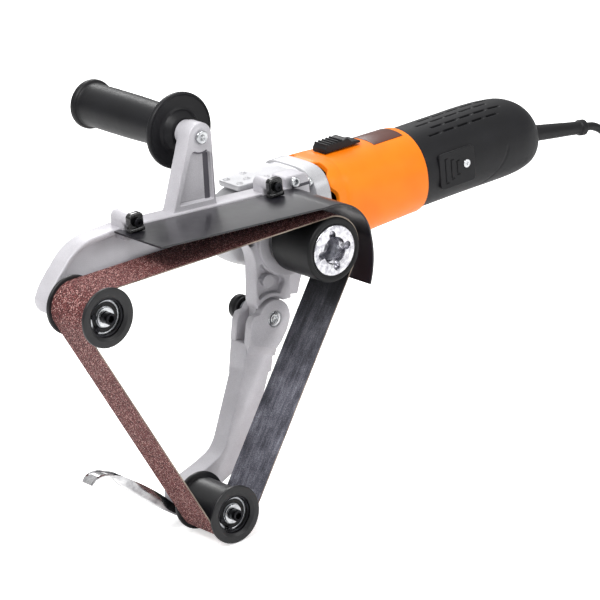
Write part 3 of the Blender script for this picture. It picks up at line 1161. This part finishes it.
piece("pressed_release_lever", [channel()], CHROME, "release_lever_unit", ("release_lever",), 40)
LEVER_SPRING_TURNS = 9
spring_turn = 2 * np.pi * LEVER_SPRING_TURNS * np.linspace(0, 1, 121)
spring_run = np.stack([np.linspace(-131, -150, 121) + 1.4 * np.sin(spring_turn),
                       LEVER_MIDDLE + 2.2 * np.cos(spring_turn),
                       np.linspace(-180.4, -164.0, 121) + 1.6 * np.sin(spring_turn)], -1)
piece("lever_return_spring", [wire(spring_run, 0.8)], SPRING, "release_lever_unit", ("lever_spring",))
pin_line = [(0.01, 79.2), (3.2, 79.2), (3.6, 78.6), (3.6, 77.8), (2.3, 77.8), (2.3, 54.2), (3.6, 54.2),
            (3.6, 53.2), (3.2, 52.8), (0.01, 52.8)]
piece("lever_hinge_pin", [turned(pin_line, LEVER_X, LEVER_Z, 48, 0.15)], ZINC, "tension_arm_unit",
      ("lever_pin",))

# %% [markdown]
# ## Motor housings
#
# Both housings are hollow mouldings with sections between a rounded square and a circle:
# $|y/w|^p + |z/h|^p = 1$, where the width $w$, height $h$ and power $p$ change along the axis. The orange one
# steps in squarely at the front, and its front edge is cut back in scallops.

# %% Housing skin
def skin(stations, angles, smooth=0):
    """Superellipse sections along the motor: stations are (x, height, width, power, lift)."""
    table = through(stations, smooth) if smooth else np.array(stations, float)
    x, height, width, power, lift = [table[:, i:i + 1] for i in range(5)]
    c, s = np.cos(angles)[None, :], np.sin(angles)[None, :]
    y = MOTOR_Y + width * np.sign(c) * np.abs(c) ** (2 / power)
    z = lift + height * np.sign(s) * np.abs(s) ** (2 / power)
    return np.stack([x + 0 * c, y, z], -1)


def hollow(outside, inside, slot=0):
    """A closed wall between an outer skin and an inner one that has the same columns."""
    return shell(np.concatenate([outside, inside[::-1]]), close_rows=True, slot=slot)


around = np.linspace(0, 2 * np.pi, 288, endpoint=False)
SEAM = 153.5
ORANGE_STATIONS = [(56.3, 34.2, 33.6, 3.5, 0), (56.6, 35.0, 34.5, 3.5, 0), (57.4, 35.5, 35.0, 3.4, 0),
                   (62, 35.5, 35.0, 3.4, 0), (67, 35.5, 35.0, 3.3, 0), (69.6, 35.5, 35.0, 3.2, 0),
                   (71.2, 35.6, 35.6, 3.0, 0), (72.4, 35.8, 36.1, 2.95, 0), (76, 35.7, 36.2, 2.85, 0),
                   (84, 35.4, 36.0, 2.7, 0), (95, 35.0, 35.6, 2.55, 0), (110, 34.8, 35.3, 2.4, 0),
                   (125, 34.7, 35.0, 2.3, 0), (140, 34.6, 34.7, 2.2, 0), (152.2, 34.5, 34.5, 2.15, 0),
                   (153.2, 34.2, 34.2, 2.15, 0), (SEAM, 33.6, 33.6, 2.15, 0)]
INNER_ORANGE = [(56.3, 31.8, 31.4, 3.3, 0), (105, 31.4, 31.6, 2.4, 0), (SEAM, 31.2, 31.2, 2.1, 0)]
orange_outside = skin(ORANGE_STATIONS, around)
side_height = orange_outside[:, :, 2]
side_reach = np.abs(orange_outside[:, :, 1] - MOTOR_Y)
scallop = 6.5 * np.exp(-((np.abs(side_height) - 4.0) / 13.0) ** 6) * (side_reach > 28)
corner_bite = 5.0 * np.exp(-((side_reach - 20) / 8.0) ** 6) * (side_height > 25)
pull = np.clip((72.0 - orange_outside[:, :, 0]) / 15.7, 0, 1)
orange_outside[:, :, 0] += (scallop + corner_bite) * pull
orange_inside = skin(INNER_ORANGE, around)
orange_inside[0, :, 0] = orange_outside[0, :, 0]
piece("orange_motor_housing", [hollow(orange_outside, orange_inside)], ORANGE, "body", ("motor_housing",), 34)

# %% [markdown]
# The black housing is closed by a dome, and rows of short air slots are pressed into its skin. Each edge of a
# slot is a logistic step, $1 / (1 + e^{d / s})$, so that it stays soft like a moulded one. The covers over the
# carbon brushes are plates with bracket-shaped grooves and a screw.

# %% Rear housing and brush covers
REAR_STATIONS = [(SEAM + 0.4, 31.8, 32.0, 2.15, 0), (155, 32.4, 32.6, 2.15, 0), (175, 32.5, 32.6, 2.15, 0.2),
                 (200, 32.4, 32.4, 2.15, 0.3), (230, 32.4, 32.4, 2.15, 0.2), (250, 31.9, 31.9, 2.1, -0.4),
                 (264, 30.2, 30.4, 2.1, -1.0), (275.4, 25.9, 26.2, 2.1, -2.4), (283.4, 18.6, 19.0, 2.1, -3.8),
                 (288, 10.0, 10.4, 2.0, -5.6), (288.4, 7.4, 7.4, 2.0, -6.8)]
REAR_INSIDE = [(SEAM + 0.4, 29.6, 29.8, 2.1, 0), (250, 28.8, 28.8, 2.1, -0.4), (264, 26.6, 26.6, 2.1, -1.0),
               (280, 15, 15, 2, -4.2), (286.8, 7.4, 7.4, 2, -6.6)]
SLOT_LENGTH, SLOT_PITCH, SLOT_WIDTH, SLOT_DEPTH = 11.5, 15.0, 1.5, 1.6
SLOTS_IN_ROW, SKIN_RADIUS = 5, 32.4
SWEEP_X, SWEEP_Z, SWEEP_RADIUS = 196, 16, 46     # the shallow curved line behind the cover
SLOT_ROWS = ((96, 178), (82, 170), (68, 178), (55, 170), (124, 178), (138, 170))     # degrees round, first x


def dipped(grid):
    """Presses the air slots and the outline of the side panel into the outer skin, along its normals."""
    centre = np.stack([grid[:, :, 0], 0 * grid[:, :, 0] + MOTOR_Y, 0 * grid[:, :, 0]], -1)
    away = grid - centre
    away /= np.linalg.norm(away, axis=2)[:, :, None]
    turn_round = np.degrees(np.arctan2(grid[:, :, 2], MOTOR_Y - grid[:, :, 1]))
    depth = np.zeros(grid.shape[:2])
    for angle, first in SLOT_ROWS:
        across = np.abs(turn_round - angle) * np.pi / 180 * SKIN_RADIUS
        row = 1 / (1 + np.exp((across - SLOT_WIDTH / 2) / 0.12))
        for i in range(SLOTS_IN_ROW):
            middle = first + SLOT_LENGTH / 2 + i * SLOT_PITCH
            along = np.abs(grid[:, :, 0] - middle)
            depth += SLOT_DEPTH * row / (1 + np.exp((along - SLOT_LENGTH / 2) / 0.35))
    near_side = (grid[:, :, 1] < MOTOR_Y).astype(float)
    sweep = np.abs(np.hypot(grid[:, :, 0] - SWEEP_X, grid[:, :, 2] - SWEEP_Z) - SWEEP_RADIUS)
    depth += 0.5 * near_side * np.exp(-(sweep / 0.9) ** 2) * (grid[:, :, 2] < 2) * (grid[:, :, 0] > 215)
    return grid - away * depth[:, :, None]


row_at = np.linspace(SEAM + 0.4, 288.4, 170)
smoothed = through(REAR_STATIONS, 10)
evenly = np.stack([np.interp(row_at, smoothed[:, 0], smoothed[:, i]) for i in range(5)], -1)
degree = np.concatenate([np.arange(-180, 40, 2.5), np.arange(40, 150, 0.6), np.arange(150, 179.9, 2.5)])
round_the_back = np.radians(180 - degree)
rear_outside = dipped(skin(evenly, round_the_back))
rear_inside = skin(through(REAR_INSIDE, 6), round_the_back)
piece("black_rear_housing", [hollow(rear_outside, rear_inside)], NYLON, "body", ("rear_housing",), 40)

RIB_X = (171.5, 177.5, 183.5)
for name, side in (("near", -1), ("far", 1)):
    outer, seat = MOTOR_Y + side * 33.5, MOTOR_Y + side * 31.1
    low, high = min(outer, seat), max(outer, seat)
    panel = eased([(166.4, -14.6), (202.6, -14.6), (202.6, 14.6), (166.4, 14.6)], 4.0)
    pockets = []
    for i, x in enumerate(RIB_X):
        half = 10.5 - 2.2 * i
        bracket = [(x, -half), (x + 3.4, -half), (x + 3.4, -half + 1.1), (x + 1.1, -half + 1.1),
                   (x + 1.1, half - 1.1), (x + 3.4, half - 1.1), (x + 3.4, half), (x, half)]
        pockets.append((eased(bracket, 0.3, 2), outer - side * 0.7))
    bore = arc(194, 1, 2.4, 0, 345, 28)
    sunk = {"near_pockets": pockets} if side < 0 else {"far_pockets": pockets}
    piece(f"brush_cover_plate_{name}", [plate(panel, low, high, 0.5, through=[bore], **sunk)], NYLON, "body",
          (f"brush_cover_{name}",), 34)
    cap = socket_head(194, outer - side * 0.2, 1, 3.4, 1.0, 1.6, towards=side, shape=crosswise, depth=0.6)
    piece(f"brush_cover_fixing_{name}", [cap], ZINC, "body", (f"brush_cover_screw_{name}",))

# %% [markdown]
# ## Gear head and controls
#
# The gear head is a long rounded pot that swells into the motor's flange. Its flat top carries a pad with
# small bosses, and the four flange screws sit in the step between the pot and the collar.

# %% Gear head
def laid(part):
    """Turns an outline extruded along Y so that it lies flat: across becomes Y and depth becomes height."""
    p = part["points"]
    return {**part, "points": np.stack([p[:, 0], MOTOR_Y + p[:, 2], p[:, 1]], -1)}


POT = [(-34.5, 6, 12, 2.3, 0), (-33.6, 11, 16, 2.4, 0), (-31, 17, 19.6, 2.5, 0), (-24, 24.4, 22.3, 2.6, 0),
       (-10, 31, 23.4, 3.0, 0), (8, 34, 23.8, 3.4, 0), (24, 34.8, 25.4, 3.6, 0), (38, 35.2, 28.4, 3.6, 0)]
COLLAR = [(40.6, 35.4, 29.6, 3.6, 0), (41.0, 36.0, 33.8, 3.6, 0), (41.8, 36.5, 35.2, 3.6, 0),
          (42.8, 36.6, 35.4, 3.6, 0), (54.8, 36.6, 35.4, 3.6, 0), (55.5, 36.1, 34.9, 3.6, 0)]
gear_shells = [shell(np.concatenate([skin(POT, around, 6), skin(COLLAR, around)]), caps=True),
               turned([(16.3, 53.5), (20.8, 53.5), (21.2, 60), (21.2, 84), (16.3, 84)], 0, 0, 96, 0.4,
                      closed=True)]
pad = eased([(-16, -13), (4, -15), (8, -18), (34, -20), (34, 20), (8, 18), (4, 15), (-16, 13)], 3.0)
gear_shells.append(laid(plate(pad, 32.0, 36.4, 0.8)))
for x, across in ((-11, -8), (-11, 8), (0, -3), (6, 9), (12, -12)):
    boss = turned([(0.01, 37.6), (1.2, 37.6), (1.5, 36.9), (2.6, 36.9), (2.9, 36.2), (0.01, 36.2)],
                  x, across, 32)
    gear_shells.append(laid(boss))
piece("gear_head_casting", gear_shells, GEAR_CASTING, "body", ("gear_head",), 34)
for i, (y, z) in enumerate(((76, 28), (132, 28), (76, -28), (132, -28))):
    head = socket_head(0, 41.0, 0, 4.2, 3.0, 2.0, shape=crosswise, depth=0.5)
    shank = turned([(0.01, 40.9), (2.0, 40.9), (2.0, 54.8), (0.01, 54.8)], 0, 0, 24)
    turned_x = [{**part, "points": np.stack([part["points"][:, 1], part["points"][:, 0] + y,
                                             part["points"][:, 2] + z], -1)} for part in (head, shank)]
    piece(f"flange_fixing_{i + 1}", turned_x, ZINC, "body", (f"flange_screw_{i + 1}",))

# %% [markdown]
# The slider's side view is one outline: a flat foot, a ramp for the thumb and five ridges. The blank plate is
# a thin piece of the housing's own skin, and the spindle lock is a turned button on the far side.

# %% Slider, plate and lock button
ridges = []
for i in range(5):
    x = 92.5 - 3.6 * i
    ridges += [(x, 42.3), (x - 0.5, 43.5 - 0.1 * i), (x - 1.5, 43.5 - 0.1 * i), (x - 2.0, 42.2)]
slider = [(74, 36.4), (110, 36.4), (109.4, 38.2), (101.5, 39.2), (97.8, 43.0), (96.0, 43.2)] + ridges
slider += [(76.2, 41.8), (74.4, 39.6)]
piece("sliding_power_switch", [plate(slider, MOTOR_Y - 7.8, MOTOR_Y + 7.8, 0.5)], SWITCH_NYLON, "switch_unit",
      ("switch_slider",), 26)

PLATE_ARC = np.radians(np.linspace(110, 70, 25))
top_face = skin([(118, 35.05, 35.3, 2.3, 0), (118.4, 35.2, 35.5, 2.3, 0), (147.6, 34.95, 35.2, 2.2, 0),
                 (148, 34.8, 35.0, 2.2, 0)], PLATE_ARC)
under_face = skin([(118, 34.4, 35.0, 2.3, 0), (118.4, 34.4, 35.0, 2.3, 0), (147.6, 34.2, 34.7, 2.2, 0),
                   (148, 34.2, 34.7, 2.2, 0)], PLATE_ARC[::-1])
piece("blank_name_plate", [shell(np.concatenate([top_face, under_face], axis=1), caps=True)], LABEL, "body",
      ("name_plate",), 30)
button = [(0.01, 131.4), (3.6, 131.4), (4.6, 130.6), (4.9, 129.4), (4.9, 113.8), (0.01, 113.8)]
piece("spindle_lock_knob", [turned(button, -13, 0, 64, 0.3)], SWITCH_NYLON, "lock_button_unit",
      ("spindle_lock_button",))

# %% [markdown]
# ## Carried-over parts
#
# Small and hidden parts keep the engineering mesh; each still gets the finish of what it is made of.

# %% Finishes for the parts that keep their own mesh
FINISH_OF_SLOT = {"orange_abs": ORANGE, "black_nylon": NYLON, "silver_painted_casting": CASTING,
                  "black_enamel_sheet": ENAMEL, "black_anodised_roller": ROLLERS["front"],
                  "black_rubber": RUBBER, "zinc_plated_steel": ZINC, "chromed_steel": CHROME,
                  "bearing_steel": STEEL, "black_oxide_steel": BLACK_STEEL, "copper": COPPER,
                  "lamination_steel": LAMINATION, "carbon": CARBON, "abrasive_cloth": GRIT,
                  "brown_label": LABEL}
for part in frame["record"]["subparts"]:
    for slot in nodes[part["node"]].material_slots:
        slot.material = FINISH_OF_SLOT[part["material_slot"]]

# %% [markdown]
# ## Floor and light
#
# A catalogue view has a white sweep and big soft lamps. One lamp above and to the left models the forms, a
# weaker one from the right keeps the blacks from closing up, and a long strip from behind draws a clear line
# of light along dark metal and plastic. The room is brightest overhead, and plain white to the camera.

# %% Stage
SKY, HORIZON, GROUND = 0.95, 0.27, 0.20
LAMPS = [("key_softbox", (-1.5, -0.5, 2.1), (-0.15, 0, 0), 46, 1.1),
         ("fill_softbox", (0.9, -2.2, 1.0), (-0.1, 0, 0), 12, 0.7),
         ("rim_strip", (0.6, 1.4, 1.5), (-0.1, 0, 0), 18, 0.4, 1.6)]
FLOOR_HALF, FLOOR_GAP = 6.0, 0.0002


def paper():
    """Matt white background paper, lit from behind as on a light table, with a barely visible tooth."""
    made, tree, look = finish("white_paper_sweep", "FAFAFA", 0.9)
    tooth = add(tree, NOISE, grain(add(tree, PLACE, out="Object"), 3.0))
    add(tree, BUMP, bumps(tooth, 0.02), into=look["Normal"])
    look["Emission Color"].default_value = (1.0, 1.0, 1.0, 1.0)
    seen = add(tree, "ShaderNodeLightPath", out="Is Camera Ray")
    add(tree, RANGE, spread(seen, 0.0, 0.55), into=look["Emission Strength"])
    return made


floor_mesh = bpy.data.meshes.new("floor")
floor_mesh.from_pydata([(x * FLOOR_HALF, y * FLOOR_HALF, 0) for x, y in ((-1, -1), (1, -1), (1, 1), (-1, 1))],
                       [], [(0, 1, 2, 3)])
floor = bpy.data.objects.new("floor", floor_mesh)
floor.location = (0, 0, CAD_BOX[0][2] - FLOOR_GAP)
bpy.context.scene.collection.objects.link(floor)
floor_mesh.materials.append(paper())

world = bpy.data.worlds.new("white_room")
world.use_nodes = True
tree = world.node_tree
backdrop = tree.nodes["Background"].inputs
way_up = add(tree, "ShaderNodeSeparateXYZ", {"Vector": add(tree, PLACE, out="Generated")}, out="Z")
upper = add(tree, RANGE, {"Value": way_up, "From Min": 0.0, "From Max": 0.8, "To Min": HORIZON, "To Max": SKY})
lower = add(tree, RANGE, {"Value": way_up, "From Min": -0.6, "From Max": 0.0,
                          "To Min": GROUND - HORIZON, "To Max": 0.0})
room = add(tree, MATH, {0: upper, 1: lower}, operation="ADD")
seen = add(tree, "ShaderNodeLightPath", out="Is Camera Ray")
add(tree, MATH, {0: room, 1: seen}, into=backdrop["Strength"], operation="MAXIMUM")
backdrop["Color"].default_value = (1.0, 1.0, 1.0, 1.0)
bpy.context.scene.world = world
bpy.context.scene.view_settings.view_transform = "Standard"


def lamp(name, at, target, power, size, size_y=None):
    """A square soft lamp, or a strip if it has a second size, that looks at a target; all in metres."""
    light = bpy.data.lights.new(name, "AREA")
    light.energy, light.size = power, size
    if size_y:
        light.shape, light.size_y = "RECTANGLE", size_y
    thing = bpy.data.objects.new(name, light)
    bpy.context.scene.collection.objects.link(thing)
    way = Vector(target) - Vector(at)
    thing.matrix_world = Matrix.Translation(at) @ way.to_track_quat("-Z", "Y").to_matrix().to_4x4()


for spec in LAMPS:
    lamp(*spec)
